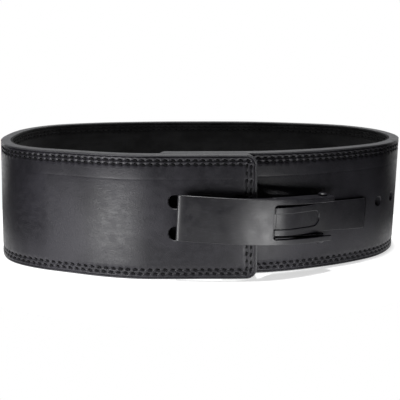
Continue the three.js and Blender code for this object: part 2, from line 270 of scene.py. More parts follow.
@dataclass
class StrapPath:
    """The belt's oval and its overlap, which carry flat places of the strap into the frame."""

    width: float = 0.358
    deep: float = 0.2145
    height: float = 0.1
    thickness: float = 0.010
    layer_gap: float = 0.0004
    flap_lean: float = 0.055
    inner_reach: float = 0.036
    flap_reach: float = 0.044
    ramp: float = 0.085
    corner: float = 0.008
    length_samples: int = 1401
    box_samples: int = 4000
    # Shares of half the width and half the depth, anticlockwise from the front centre.
    oval: tuple[Pair, ...] = (
        (-0.011, -1), (0.268, -0.99), (0.492, -0.893), (0.715, -0.72), (0.883, -0.51), (0.983, -0.221),
        (1, 0.058), (0.944, 0.394), (0.805, 0.674), (0.575, 0.851), (0.296, 0.972), (-0.011, 1),
        (-0.318, 0.981), (-0.598, 0.902), (-0.827, 0.73), (-0.95, 0.441), (-0.997, 0.021),
        (-0.983, -0.333), (-0.905, -0.632), (-0.737, -0.846), (-0.514, -0.958), (-0.263, -0.995),
    )
    # Shares of the loop's length, and how far the strap leans out at the bottom there.
    leans: tuple[Pair, ...] = (
        (-0.05, 0), (0.05, 0), (0.12, -0.025), (0.19, -0.035), (0.28, -0.01), (0.5, 0),
        (0.75, 0.01), (0.84, 0.04), (0.9, 0.055),
    )

    def __post_init__(self) -> None:
        """Measures the oval, then finds where the frame has put it."""
        half = np.array([self.width, self.deep]) / 2
        self.knots = np.array(self.oval) * half
        self.spans = self._spans()
        self.turns = np.linspace(0, len(self.knots), self.length_samples)
        steps = np.linalg.norm(np.diff(self._at_turn(self.turns), axis=0), axis=1)
        self.lengths = np.concatenate([[0], np.cumsum(steps)])
        self.length = self.lengths[-1]
        self.start = -self.inner_reach
        self.end = self.length + self.flap_reach
        self.straight = self.end - self.start - 2 * self.corner
        self.flap_lift = self.thickness + self.layer_gap + self.flap_lean * self.height / 2
        self.shift = np.zeros(2)
        low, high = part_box("belt_leather")
        along = np.linspace(self.start, self.end, self.box_samples)
        none = np.zeros(self.box_samples)
        edges = [self.bend(np.column_stack([along, none, none + z])) for z in (0, self.height)]
        own = np.vstack(edges)[:, :2]
        middle = np.array([low.x + high.x, low.y + high.y]) / 2
        self.shift = middle - (own.min(axis=0) + own.max(axis=0)) / 2

    def _spans(self) -> Array:
        """The four numbers of each span's cubic, for a closed centripetal spline through the knots."""
        rows = [np.roll(self.knots, turn, axis=0) for turn in (1, 0, -1, -2)]
        first, second, third = (
            np.sqrt(np.linalg.norm(b - a, axis=1))[:, None] for a, b in zip(rows, rows[1:])
        )
        before, here, after, beyond = rows
        leave = (here - before) / first - (after - before) / (first + second) + (after - here) / second
        arrive = (after - here) / second - (beyond - here) / (second + third) + (beyond - after) / third
        leave, arrive = leave * second, arrive * second
        cubic = -3 * here + 3 * after - 2 * leave - arrive
        return np.stack([here, leave, cubic, 2 * here - 2 * after + leave + arrive], axis=1)

    def _at_turn(self, turns: Array) -> Array:
        """Plan places at a count of knots from the start."""
        span = np.floor(turns).astype(int)
        part = (turns - span)[:, None]
        terms = self.spans[span % len(self.knots)]
        return terms[:, 0] + part * (terms[:, 1] + part * (terms[:, 2] + part * terms[:, 3]))

    def plan(self, along: Array) -> tuple[Array, Array]:
        """The oval's plan places and outward unit directions, at distances along the strap."""
        wrapped = np.mod(along, self.length)
        turn = np.interp(wrapped, self.lengths, self.turns)
        small = 1e-3
        tangent = self._at_turn(turn + small) - self._at_turn(turn - small)
        tangent /= np.linalg.norm(tangent, axis=1)[:, None]
        return self._at_turn(turn), np.column_stack([tangent[:, 1], -tangent[:, 0]])

    def lift(self, along: Array) -> Array:
        """How far the outer face has moved out from the oval."""
        ramp_end = self.length - self.inner_reach - self.corner / 2
        return self.flap_lift * smoothstep(along, ramp_end - self.ramp, ramp_end)

    def lean(self, along: Array) -> Array:
        """How far the bottom edge stands outside the top edge, as a share of the height."""
        return ease_between(self.leans, np.asarray(along) / self.length)

    def bend(self, flat: Array) -> Array:
        """Carries rows of (along, depth, height) into the frame, as rows of x, y and z."""
        along, depth, height = flat.T
        centre, outward = self.plan(along)
        reach = self.lift(along) - depth + self.lean(along) * (self.height / 2 - height)
        return np.column_stack([centre + outward * reach[:, None] + self.shift, height])

    def point(self, along: float, outside: float, height: float) -> Vector:
        """One place outside the strap's face, in the frame."""
        return Vector(self.bend(np.array([[along, -outside, height]]))[0])

    def face_frame(self, along: float) -> Matrix:
        """The strap's own directions at its middle: x along it, y up its face, z out of it."""
        _, outward = self.plan(np.array([along]))
        out = Vector((*outward[0], 0))
        tangent = Vector((-out.y, out.x, 0))
        up = (Vector((0, 0, 1)) - out * float(self.lean(np.array([along]))[0])).normalized()
        axes = Matrix((tangent, up, tangent.cross(up))).transposed().to_4x4()
        return Matrix.Translation(self.point(along, 0, self.height / 2)) @ axes

    def inset(self, along: Array) -> Array:
        """How much the rounded corners take off the height, top and bottom."""
        inside = np.maximum(0, self.corner - np.minimum(along - self.start, self.end - along))
        return self.corner - np.sqrt(np.maximum(0, self.corner**2 - inside**2))


@dataclass(frozen=True)
class Holes:
    """The holes punched through the strap."""

    prong_radius: float = 0.0055
    prong_pitch: float = 0.0254
    prong_spread: float = 0.0254
    prong_pairs: int = 3
    prongs_at: float = 0.0308
    screw_radius: float = 0.004
    screw_pitch: float = 0.0254
    screw_count: int = 5
    first_screw_at: float = 0.1152
    sides: int = 36
    overshoot: float = 0.001

    def places(self, path: StrapPath) -> list[Triple]:
        """Every hole as (along, height, radius)."""
        middle = path.height / 2
        found = [
            (self.first_screw_at + index * self.screw_pitch, middle, self.screw_radius)
            for index in range(self.screw_count)
        ]
        for pair in range(self.prong_pairs):
            along = path.length + self.prongs_at - pair * self.prong_pitch
            found += [(along, middle + side * self.prong_spread / 2, self.prong_radius) for side in (-1, 1)]
        return found

    def cutters(self, path: StrapPath, near: float, far: float, lip: float) -> list[Item]:
        """Cutters for the flat strap, each flared towards the outer face.

        Args:
            path: the strap's path.
            near: the depth where the flare is widest.
            far: the depth of the cutters' inner ends.
            lip: how much wider than the hole the flare is, and how deep.

        Returns:
            One cutter for each hole.
        """
        made = []
        for along, height, radius in self.places(path):
            low, high = Vector((along, far, height)), Vector((along, near + lip, height))
            cutter = new_cylinder("cutter", radius, low, high, self.sides)
            mark_level(cutter, 1, near + lip)
            wide = (radius + lip) / radius
            with editing(cutter):
                past = (0, -2 * lip - self.overshoot, 0)
                shoulder((0, -lip, 0), (wide, 1, wide), (along, near, height), past)
            made.append(cutter)
        return made


@dataclass(frozen=True)
class StitchRows:
    """Two rows of lock stitch that follow the strap's outline, half a stitch apart."""

    distances: Pair = (0.0045, 0.0077)
    stagger: Pair = (0.25, 0.75)
    pitch: float = 0.0059
    length: float = 0.0036
    radius: float = 0.00075
    slant: float = -0.28
    channel_depth: float = 0.00025
    channel_width: float = 0.0011
    pit_depth: float = 0.0012
    pit_reach: Pair = (0.0021, 0.0011)
    pucker: float = 0.00045
    pucker_from: float = 1.1
    pull_reach: float = 0.004

    def walk(self, path: StrapPath, distance: float, stagger: float) -> list[Triple]:
        """The middle of every stitch of a row and its direction, on the flat strap.

        Args:
            path: the strap's path.
            distance: the row's distance inside the strap's outline.
            stagger: how far its first stitch is moved on, in pitches.

        Returns:
            Rows of along, height and angle.
        """
        radius = path.corner - distance
        arc = radius * math.pi / 2
        legs = [path.straight, arc, path.height - 2 * path.corner, arc] * 2
        total = sum(legs)
        count = round(total / self.pitch)
        last, first = path.end - path.corner, path.start + path.corner
        low, high = path.corner, path.height - path.corner
        corners = [(last, low), (last, high), (first, high), (first, low)]
        found = []
        for index in range(count):
            left = (index + stagger) / count * total
            leg = 0
            while left > legs[leg]:
                left -= legs[leg]
                leg += 1
            corner = corners[leg // 2]
            angle, back = (leg // 2) * math.pi / 2, legs[leg] - left
            if leg % 2:
                angle, back = angle + left / radius, 0.0
            onward = (math.cos(angle), math.sin(angle))
            along = corner[0] + onward[1] * radius - back * onward[0]
            height = corner[1] - onward[0] * radius - back * onward[1]
            found.append((along, height, angle))
        return found

    def all_stitches(self, path: StrapPath) -> list[Triple]:
        """Every stitch of both rows, slanted."""
        rows = [self.walk(path, *row) for row in zip(self.distances, self.stagger)]
        return [(along, height, angle + self.slant) for row in rows for along, height, angle in row]

    def sink(self, path: StrapPath, along: Array, height: Array) -> Array:
        """How far the stitching pulls the surface in at each place.

        Args:
            path: the strap's path.
            along: distances along the strap.
            height: heights above its bottom edge.

        Returns:
            Depths in metres.
        """
        edge = self.edge_distance(path, along, height)
        sunk = sum(np.exp(-(((edge - row) / self.channel_width) ** 2)) for row in self.distances)
        depth = self.channel_depth * sunk
        stitches = np.array(self.all_stitches(path))
        tree = KDTree(len(stitches))
        for index, (x, z, _) in enumerate(stitches):
            tree.insert((x, 0, z), index)
        tree.balance()
        close = np.flatnonzero(edge < self.distances[1] + self.pull_reach)
        nearest = stitches[[tree.find((along[i], 0, height[i]))[1] for i in close]]
        x, z = along[close] - nearest[:, 0], height[close] - nearest[:, 1]
        cos, sin = np.cos(nearest[:, 2]), np.sin(nearest[:, 2])
        lengthwise, across = (x * cos + z * sin) / self.pit_reach[0], (z * cos - x * sin) / self.pit_reach[1]
        near = np.exp(-(across**2))
        depth[close] += self.pit_depth * np.exp(-(lengthwise**4)) * near
        depth[close] -= self.pucker * np.clip(np.abs(lengthwise) - self.pucker_from, 0, 1) * near
        return depth

    @staticmethod
    def edge_distance(path: StrapPath, along: Array, height: Array) -> Array:
        """How far inside the strap's rounded outline each place lies."""
        half = np.array([(path.end - path.start) / 2, path.height / 2]) - path.corner
        middle = np.array([(path.end + path.start) / 2, path.height / 2])
        over = np.abs(np.column_stack([along, height]) - middle) - half
        outside = np.linalg.norm(np.maximum(over, 0), axis=1) + np.minimum(over.max(axis=1), 0)
        return path.corner - outside


# Finishes


class Surface:
    """A node material that ends in one principled shader."""

    def __init__(self, name: str, color: Triple, roughness: float) -> None:
        """Starts a named material with its base colour and how dull it is."""
        self.material = bpy.data.materials.new(name)
        self.material.use_nodes = True
        self.tree = self.material.node_tree
        self.shader = self.tree.nodes["Principled BSDF"]
        self.set(**{"Base Color": (*color, 1), "Roughness": roughness})

    def set(self, **values: object) -> None:
        """Sets the shader's own sockets."""
        for key, value in values.items():
            self.shader.inputs[key].default_value = value

    def node(self, kind: str, inputs: dict, **settings: object) -> bpy.types.Node:
        """Adds a node.

        Args:
            kind: the node's type, without its leading words.
            inputs: a value or an output socket for each named or numbered input.
            settings: the node's own options.

        Returns:
            The new node.
        """
        made = self.tree.nodes.new("ShaderNode" + kind)
        for key, value in settings.items():
            setattr(made, key, value)
        for key, value in inputs.items():
            if isinstance(value, Socket):
                self.tree.links.new(value, made.inputs[key])
            else:
                made.inputs[key].default_value = value
        return made

    def attribute(self, name: str, output: str = "Vector") -> Socket:
        """One of the piece's own attributes."""
        return self.node("Attribute", {}, attribute_name=name).outputs[output]

    def object_place(self) -> Socket:
        """The object's own coordinates, in metres."""
        return self.node("TexCoord", {}).outputs["Object"]

    def stretched(self, vector: Socket, scale: Triple) -> Socket:
        """The place with each direction scaled."""
        return self.node("Mapping", {"Vector": vector, "Scale": scale}).outputs["Vector"]

    def noise(self, vector: Socket, size: float, detail: float, rough: float) -> Socket:
        """Soft noise with spots of a size in metres."""
        inputs = {"Vector": vector, "Scale": 1 / size, "Detail": detail, "Roughness": rough}
        return self.node("TexNoise", inputs).outputs["Fac"]

    def cells(self, vector: Socket, size: float, feature: str = "SMOOTH_F1") -> Socket:
        """Distances inside cells of a size in metres."""
        inputs = {"Vector": vector, "Scale": 1 / size}
        return self.node("TexVoronoi", inputs, feature=feature).outputs["Distance"]

    def math(self, operation: str, first: object, second: object = 0.0) -> Socket:
        """One sum on two values."""
        return self.node("Math", {0: first, 1: second}, operation=operation).outputs[0]

    def spread(self, value: Socket, low: float, high: float, first: float = 0, last: float = 1) -> Socket:
        """Carries low to high onto first to last, eased and held at its ends."""
        inputs = {"Value": value, "From Min": low, "From Max": high, "To Min": first, "To Max": last}
        return self.node("MapRange", inputs, interpolation_type="SMOOTHSTEP").outputs["Result"]

    def tint(self, factor: Socket, first: object, second: object) -> Socket:
        """Mixes two colours, each a triple or a socket."""
        ends = [color if isinstance(color, Socket) else (*color, 1) for color in (first, second)]
        return self.node("Mix", {0: factor, 6: ends[0], 7: ends[1]}, data_type="RGBA").outputs[2]

    def paint(self, color: Socket, roughness: Socket | None = None) -> None:
        """Links the colour, and the roughness where one is given, to the shader."""
        self.tree.links.new(color, self.shader.inputs["Base Color"])
        if roughness is not None:
            self.tree.links.new(roughness, self.shader.inputs["Roughness"])

    def emboss(self, *layers: tuple[Socket, float, float]) -> None:
        """Adds relief in layers: each one's height from nought to one, depth in metres and strength."""
        normal = None
        for height, depth, strength in layers:
            inputs = {"Height": height, "Distance": depth, "Strength": strength}
            if normal is not None:
                inputs["Normal"] = normal
            normal = self.node("Bump", inputs).outputs["Normal"]
        self.tree.links.new(normal, self.shader.inputs["Normal"])


@dataclass(frozen=True)
class BlackLeather:
    """Dyed and finished strap leather: pebbled grain, faint creases and edges worn paler."""

    dark: Triple = (0.0135, 0.0128, 0.0165)
    pale: Triple = (0.028, 0.0268, 0.033)
    pale_edge: Triple = (0.075, 0.076, 0.080)
    rubbed_width: float = 0.0016
    grain_size: float = 0.0011
    fine_size: float = 0.0004
    crease_size: float = 0.006
    mottle_size: float = 0.007
    broad_size: float = 0.045

    def material(self) -> Material:
        """The finish as a material."""
        surface = Surface("black_leather", self.dark, 0.47)
        surface.set(**{"Specular IOR Level": 0.38, "Sheen Weight": 0.04, "Sheen Roughness": 0.5})
        flat = surface.attribute("flat")
        edge = surface.attribute("edge", "Fac")
        grain = surface.cells(flat, self.grain_size)
        fine = surface.noise(flat, self.fine_size, 4, 0.6)
        crease = surface.cells(flat, self.crease_size, "DISTANCE_TO_EDGE")
        broad = surface.noise(flat, self.broad_size, 3, 0.55)
        mottle = surface.noise(surface.stretched(flat, (1, 1, 1.6)), self.mottle_size, 4, 0.6)
        tone = surface.tint(surface.spread(broad, 0.36, 0.66), self.dark, self.pale)
        tone = surface.tint(surface.spread(mottle, 0.42, 0.72, 0, 0.45), tone, self.pale)
        near_edge = surface.spread(edge, 0.0, self.rubbed_width, 1, 0)
        worn = surface.math("MULTIPLY", near_edge, surface.spread(fine, 0.3, 0.6, 0.35, 1))
        surface.paint(surface.tint(worn, tone, self.pale_edge), surface.spread(mottle, 0.3, 0.75, 0.40, 0.54))
        surface.emboss(
            (surface.spread(crease, 0.0, 0.05), 0.00008, 0.22),
            (grain, 0.00022, 0.35),
            (fine, 0.00008, 0.3),
        )
        return surface.material


@dataclass(frozen=True)
class CutEdge:
    """The strap's sanded and dyed edge, with the fibres of its plies showing."""

    dark: Triple = (0.13, 0.129, 0.13)
    pale: Triple = (0.42, 0.415, 0.41)
    fibre_size: float = 0.0007
    fuzz_size: float = 0.0005
    patch_size: float = 0.006

    def material(self) -> Material:
        """The finish as a material."""
        surface = Surface("cut_leather_edge", self.dark, 0.6)
        flat = surface.attribute("flat")
        fibre = surface.noise(surface.stretched(flat, (0.12, 1, 0.12)), self.fibre_size, 4, 0.65)
        patch = surface.noise(surface.stretched(flat, (0.35, 1, 1)), self.patch_size, 3, 0.6)
        strands = surface.spread(fibre, 0.3, 0.7, 0.25, 1)
        blend = surface.math("MULTIPLY", strands, surface.spread(patch, 0.3, 0.65, 0.35, 1))
        surface.paint(surface.tint(blend, self.dark, self.pale))
        surface.emboss((fibre, 0.0003, 0.4), (surface.noise(flat, self.fuzz_size, 3, 0.6), 0.0001, 0.4))
        return surface.material


@dataclass(frozen=True)
class BlackSuede:
    """A napped suede lining with brushed patches."""

    dark: Triple = (0.0075, 0.0075, 0.008)
    brushed: Triple = (0.017, 0.017, 0.018)
    nap_size: float = 0.00035
    brushed_size: float = 0.02

    def material(self) -> Material:
        """The finish as a material."""
        surface = Surface("black_suede", self.dark, 0.93)
        surface.set(**{"Specular IOR Level": 0.15, "Sheen Weight": 0.08, "Sheen Roughness": 0.6})
        flat = surface.attribute("flat")
        nap = surface.noise(surface.stretched(flat, (1, 1, 0.45)), self.nap_size, 4, 0.7)
        brushed = surface.noise(surface.stretched(flat, (0.6, 1, 1)), self.brushed_size, 4, 0.6)
        surface.paint(surface.tint(surface.spread(brushed, 0.38, 0.66), self.dark, self.brushed))
        surface.emboss((brushed, 0.0006, 0.25), (nap, 0.00035, 0.6))
        return surface.material


@dataclass(frozen=True)
class PowderCoat:
    """Satin black coating on steel, with a fine orange peel and faint scuffs; a much paler copy on the
    arrises is partly worn coating and partly a painted highlight.
    """

    name: str = "black_coated_steel"
    dark: Triple = (0.0105, 0.0100, 0.0130)
    pale: Triple = (0.021, 0.0202, 0.0255)
    roughness: Pair = (0.34, 0.46)
    peel_size: float = 0.0009
    scuff_size: float = 0.0016
    cloud_size: float = 0.012

    def material(self) -> Material:
        """The finish as a material."""
        surface = Surface(self.name, self.dark, self.roughness[0])
        surface.set(**{"Specular IOR Level": 0.6})
        place = surface.object_place()
        cloud = surface.noise(place, self.cloud_size, 3, 0.6)
        scuff = surface.noise(surface.stretched(place, (0.25, 1, 1)), self.scuff_size, 4, 0.7)
        surface.paint(
            surface.tint(surface.spread(scuff, 0.45, 0.75), self.dark, self.pale),
            surface.spread(cloud, 0.3, 0.7, *self.roughness),
        )
        surface.emboss((surface.noise(place, self.peel_size, 2, 0.5), 0.00012, 0.22), (scuff, 0.00003, 0.3))
        return surface.material


@dataclass(frozen=True)
class WaxedThread:
    """Thick black sewing thread, twisted from plies."""

    dark: Triple = (0.004, 0.004, 0.0045)
    pale: Triple = (0.010, 0.010, 0.011)
    ply: float = 0.0009

    def material(self) -> Material:
        """The finish as a material."""
        surface = Surface("black_thread", self.dark, 0.7)
        surface.set(**{"Specular IOR Level": 0.15, "Sheen Weight": 0.03})
        lie = surface.node("SeparateXYZ", {0: surface.attribute("lie")})
        slant = surface.math("ADD", surface.math("DIVIDE", lie.outputs[0], self.ply), lie.outputs[1])
        ridge = surface.math("SINE", surface.math("MULTIPLY", slant, 2 * math.pi))
        surface.paint(surface.tint(surface.spread(ridge, -0.6, 0.9), self.dark, self.pale))
        surface.emboss((surface.spread(ridge, -1, 1), 0.00015, 0.7))
        return surface.material


# Strap


@dataclass(frozen=True)
class Crease:
    """A line pressed into a face."""

    at: float
    width: float
    depth: float

    def sink(self, distance: Array) -> Array:
        """How deep it is at each distance."""
        return self.depth * np.exp(-(((distance - self.at) / self.width) ** 2))


@dataclass
class StrapLayer:
    """One layer of the strap, modelled flat with its holes and then bent along the path."""

    name: str
    node: str
    slot: Slot
    path: StrapPath
    holes: Holes
    stitches: StitchRows
    shown: float = 0.0
    hidden: float = 0.0084
    # The depths between which its holes are cut.
    cut: Pair = (-0.0001, 0.0114)
    edge_radius: float = 0.0008
    lip: float = 0.0007
    wall_share: float = 0.9
    columns_per_stitch: int = 6
    edge_steps: tuple[float, ...] = (
        0, 0.00015, 0.0004, 0.0008, 0.0012, 0.0016, 0.0019, 0.0022, 0.0027, 0.0034, 0.004, 0.0045,
        0.005, 0.0056, 0.0062, 0.0068, 0.0073, 0.0077, 0.0081, 0.0087, 0.0097, 0.0115, 0.0145, 0.018,
        0.019, 0.0195, 0.02, 0.021,
    )
    middle_rows: int = 14
    side_depths: tuple[float, ...] = (0.003, 0.0057)
    fill_from: int = 7
    edge_crease: Crease = Crease(0.0017, 0.0004, 0.0006)
    top_crease: Crease = Crease(0.0195, 0.0005, 0.00014)
    top_crease_inside: float = 0.0185
    # Slow waves of the face: radians per metre along and up, and the first one's start.
    wave: Triple = (71, 63, 1.3)
    ripple: Pair = (171, 90)
    ripple_share: float = 0.5
    wave_depth: float = 0.00009
    wave_fade: float = 0.01
    smooth: float = 40

    def columns(self) -> Array:
        """Where the grid's columns lie along the strap, in step with the stitches."""
        path = self.path
        ends = np.array([step for step in self.edge_steps if step < path.corner - SLACK])
        count = round(path.straight / self.stitches.pitch) * self.columns_per_stitch
        middle = np.linspace(path.start + path.corner, path.end - path.corner, count + 1)
        return np.concatenate([path.start + ends, middle, (path.end - ends)[::-1]])

    def rows(self) -> Array:
        """The heights of the grid's rows."""
        low = np.array(self.edge_steps)
        middle = np.linspace(low[-1], self.path.height - low[-1], self.middle_rows + 2)[1:-1]
        return np.concatenate([low, middle, (self.path.height - low)[::-1]])

    def flat_sheet(self) -> Item:
        """The layer as a closed flat board with rounded corners."""
        columns, rows = self.columns(), self.rows()
        last_column, last_row = len(columns) - 1, len(rows) - 1
        select_none()
        bpy.ops.mesh.primitive_grid_add(x_subdivisions=last_column, y_subdivisions=last_row, size=1)
        sheet = bpy.context.object
        sheet.name = self.name
        grid = read_points(sheet)
        column = np.rint((grid[:, 0] + 0.5) * last_column).astype(int)
        row = np.rint((grid[:, 1] + 0.5) * last_row).astype(int)
        half = self.path.height / 2
        shrink = (half - self.path.inset(columns))[column] / half
        height = half + (rows[row] - half) * shrink
        write_points(sheet, np.column_stack([columns[column], np.full(len(grid), self.shown), height]))
        rim = (column == 0) | (column == last_column) | (row == 0) | (row == last_row)
        self.extrude_rim(sheet, rim)
        self.close_back(sheet, columns)
        return sheet

    def extrude_rim(self, sheet: Item, rim: Array) -> None:
        """Draws the sheet's rim back to its hidden face, in steps."""
        pairs = read(sheet.data.edges, "vertices", 2, int)
        uses = read(sheet.data.loops, "edge_index", 1, int)[:, 0]
        counts = np.bincount(uses, minlength=len(pairs))
        mark(sheet, Domain.EDGES, (counts == 1) & rim[pairs].all(axis=1))
        depths = [self.shown, *self.side_depths, self.hidden]
        with editing(sheet, Domain.EDGES):
            for before, after in zip(depths, depths[1:]):
                extrude((0, after - before, 0))

    def close_back(self, sheet: Item, columns: Array) -> None:
        """Bridges the hidden face between its long sides and fills its two ends."""
        low, high = columns[self.fill_from] - TOUCH, columns[-1 - self.fill_from] + TOUCH
        ends = edge_ends(sheet)
        chosen = np.ones(len(ends[0]), dtype=bool)
        for end in ends:
            chosen &= (np.abs(end[:, 1] - self.hidden) < TOUCH) & (end[:, 0] > low) & (end[:, 0] < high)
        mark(sheet, Domain.EDGES, chosen)
        with editing(sheet, Domain.EDGES):
            bpy.ops.mesh.bridge_edge_loops()
            bpy.ops.mesh.select_all(action="SELECT")
            bpy.ops.mesh.fill_holes(sides=0)
        turn_faces_out(sheet, MERGE_FINE)

    def relief(self, flat: Array, edge: Array) -> Array:
        """How far the shown face sinks: at its edge, its stitches, its pressed lines and its slow waves.

        Args:
            flat: rows of (along, depth, height).
            edge: each place's distance inside the outline.

        Returns:
            Depths in metres.
        """
        along, _, height = flat.T
        radius = self.edge_radius
        over = np.clip(radius - edge, 0, radius)
        depth = radius - np.sqrt(radius**2 - over**2)
        depth += self.stitches.sink(self.path, along, height)
        depth += self.edge_crease.sink(edge)
        depth += self.top_crease.sink(self.path.height - height) * (edge > self.top_crease_inside)
        sway = np.sin(along * self.wave[0] + self.wave[2]) * np.sin(height * self.wave[1])
        sway += self.ripple_share * np.sin(along * self.ripple[0] + height * self.ripple[1])
        return depth + self.wave_depth * sway * np.clip(edge / self.wave_fade, 0, 1)

    def build(self, face: Material, side: Material) -> None:
        """Makes the layer, punches and bends it, and dresses it.

        Args:
            face: the finish of its faces.
            side: the finish of its cut edges.
        """
        sheet = self.flat_sheet()
        cut_away(sheet, self.holes.cutters(self.path, *self.cut, self.lip))
        flat = read_points(sheet)
        edge = self.stitches.edge_distance(self.path, flat[:, 0], flat[:, 2])
        centres = face_centres(sheet)
        inside = self.stitches.edge_distance(self.path, centres[:, 0], centres[:, 2])
        off_face = np.abs(centres[:, 1] - self.shown) > SLACK / 2
        is_side = ((inside < SLACK) | self.near_hole(centres)) & off_face
        sheet.data.polygons.foreach_set("material_index", is_side.astype(np.int32))
        moved = flat.copy()
        on_face = np.abs(flat[:, 1] - self.shown) < self.lip + SLACK
        inward = 1 if self.hidden > self.shown else -1
        moved[on_face, 1] += inward * self.relief(flat[on_face], edge[on_face])
        self.keep("flat", sheet, flat)
        sheet.data.attributes.new("edge", "FLOAT", "POINT").data.foreach_set("value", edge)
        write_points(sheet, self.path.bend(moved))
        mark(sheet, Domain.FACES, np.ones(len(sheet.data.polygons)))
        with editing(sheet):
            bpy.ops.mesh.normals_make_consistent(inside=False)
        shade(sheet, self.smooth)
        settle(sheet, [self.node], [face, side])

    def near_hole(self, places: Array) -> Array:
        """Whether each place lies in or at the wall of a hole."""
        found = np.zeros(len(places), dtype=bool)
        for along, height, radius in self.holes.places(self.path):
            reach = radius + self.lip * self.wall_share
            found |= np.hypot(places[:, 0] - along, places[:, 2] - height) < reach
        return found

    @staticmethod
    def keep(name: str, sheet: Item, values: Array) -> None:
        """Stores a vector for every point."""
        sheet.data.attributes.new(name, "FLOAT_VECTOR", "POINT").data.foreach_set("vector", values.ravel())


@dataclass
class Stitching:
    """The visible stitches of one face, each a short twisted thread that dives into the strap."""

    name: str
    path: StrapPath
    rows: StitchRows
    face_depth: float
    outward: int
    # The stretch along the strap that another layer covers.
    skip: Pair
    ring_count: int = 6
    sides: int = 6
    # How much slimmer its ends are, how far they dive, and its depth as a share of its pit's.
    taper: float = 0.35
    dive: float = 0.00085
    sunk: float = 0.75
    smooth: float = 60

    def template(self) -> Item:
        """One stitch along x, standing up in z."""
        half = self.rows.length / 2
        low, high = Vector((-half, 0, 0)), Vector((half, 0, 0))
        stitch = new_cylinder(self.name, self.rows.radius, low, high, self.sides)
        start, end = edge_ends(stitch)
        mark(stitch, Domain.EDGES, np.abs(start[:, 0] - end[:, 0]) > half)
        with editing(stitch, Domain.EDGES):
            bpy.ops.mesh.subdivide(number_cuts=self.ring_count - 2)
        points = read_points(stitch)
        share = points[:, 0] / half
        slim = 1 - self.taper * share**4
        points[:, 1] *= slim
        points[:, 2] = points[:, 2] * slim - self.dive * share**4
        write_points(stitch, points)
        return stitch

    def build(self, material: Material, slot: Slot) -> None:
        """Copies the stitch along both rows and bends them with the strap.

        Args:
            material: the thread's finish.
            slot: the record's slot for it; not used.
        """
        stitch = self.template()
        shape = read_points(stitch)
        faces = [list(face.vertices) for face in stitch.data.polygons]
        bpy.data.objects.remove(stitch)
        flat, lie, polygons = [], [], []
        turn = np.arctan2(shape[:, 1], shape[:, 2]) / (2 * math.pi)
        for along, height, angle in self.rows.all_stitches(self.path):
            if self.skip[0] < along < self.skip[1]:
                continue
            step = len(flat) * len(shape)
            cos, sin = math.cos(angle), math.sin(angle)
            x = along + shape[:, 0] * cos - shape[:, 1] * sin
            z = height + shape[:, 0] * sin + shape[:, 1] * cos
            depth = self.face_depth - self.outward * (shape[:, 2] - self.rows.pit_depth * self.sunk)
            flat.append(np.column_stack([x, depth, z]))
            lie.append(np.column_stack([shape[:, 0], turn, shape[:, 2]]))
            polygons += [[index + step for index in face] for face in faces]
        mesh = bpy.data.meshes.new(self.name)
        mesh.from_pydata(self.path.bend(np.vstack(flat)).tolist(), [], polygons)
        piece = add_object(self.name, mesh)
        StrapLayer.keep("lie", piece, np.vstack(lie))
        turn_faces_out(piece, MERGE_FINE)
        shade(piece, self.smooth)
        settle(piece, [], [material])


# Buckle


@dataclass
class BuckleFrame:
    """The directions that the buckle is drawn in: x along the strap, y up, z out."""

    path: StrapPath
    seat_at: float = 0.1279
    prongs_at: float = 0.0308
    roll: float = math.radians(2.6)
    prong_drop: float = 0.0018
    rivet_at: float = 0.0985
    rivet_rise: float = 0.0068
    lever_width: float = 0.0371
    sheet: float = 0.0025
    ear_gap: float = 0.0006
    hook_thickness: float = 0.0023
    gap: float = 0.0003

    def __post_init__(self) -> None:
        """Sets up the seat's frame and the buckle's own, turned a little within it."""
        self.seat = self.path.face_frame(self.seat_at)
        swing = self.plan(self.prongs_at, self.path.flap_lift)[0] * math.sin(self.roll) - self.prong_drop
        turn = Matrix.Translation((0, swing, 0)) @ Matrix.Rotation(-self.roll, 4, "Z")
        self.matrix = self.seat @ turn
        self.arm_face = self.lever_width / 2 - self.sheet - self.ear_gap

    def plan(self, along: float, rise: float) -> Pair:
        """A plan place in the seat's frame, from a place along the strap and a rise off it."""
        place = self.seat.inverted() @ self.path.point(along, rise, self.path.height / 2)
        return place.x, place.z


@dataclass
class PressedSteel:
    """A steel part of the buckle, with its arrises rounded and coloured paler, for worn coating and as a
    painted highlight; angles in degrees.
    """

    name: str
    node: str
    round_over: float
    segments: int = 3
    flat: float = 0.6
    sharp: float = 32
    smooth: float = 38
    face_weight: int = 50

    def build(self, coat: Material, pale_edge: Material) -> None:
        """Merges a copy of the frame's solid and rounds its arrises.

        Args:
            coat: the finish of its faces.
            pale_edge: the finish of its rounded arrises, paler both for worn coating and as a painted
                highlight.
        """
        piece = add_object(self.name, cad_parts[self.node].data.copy())
        turn_faces_out(piece)
        with editing(piece):
            bpy.ops.mesh.select_all(action="SELECT")
            bpy.ops.mesh.dissolve_limited(angle_limit=math.radians(self.flat))
        # The new arris faces take the second finish: worn coating with a painted highlight.
        apply_modifier(
            piece,
            "BEVEL",
            width=self.round_over,
            segments=self.segments,
            limit_method="ANGLE",
            angle_limit=math.radians(self.sharp),
            use_clamp_overlap=False,
            material=1,
        )
        shade(piece, self.smooth)
        apply_modifier(piece, "WEIGHTED_NORMAL", weight=self.face_weight, keep_sharp=True)
        settle(piece, [self.node], [coat, pale_edge])


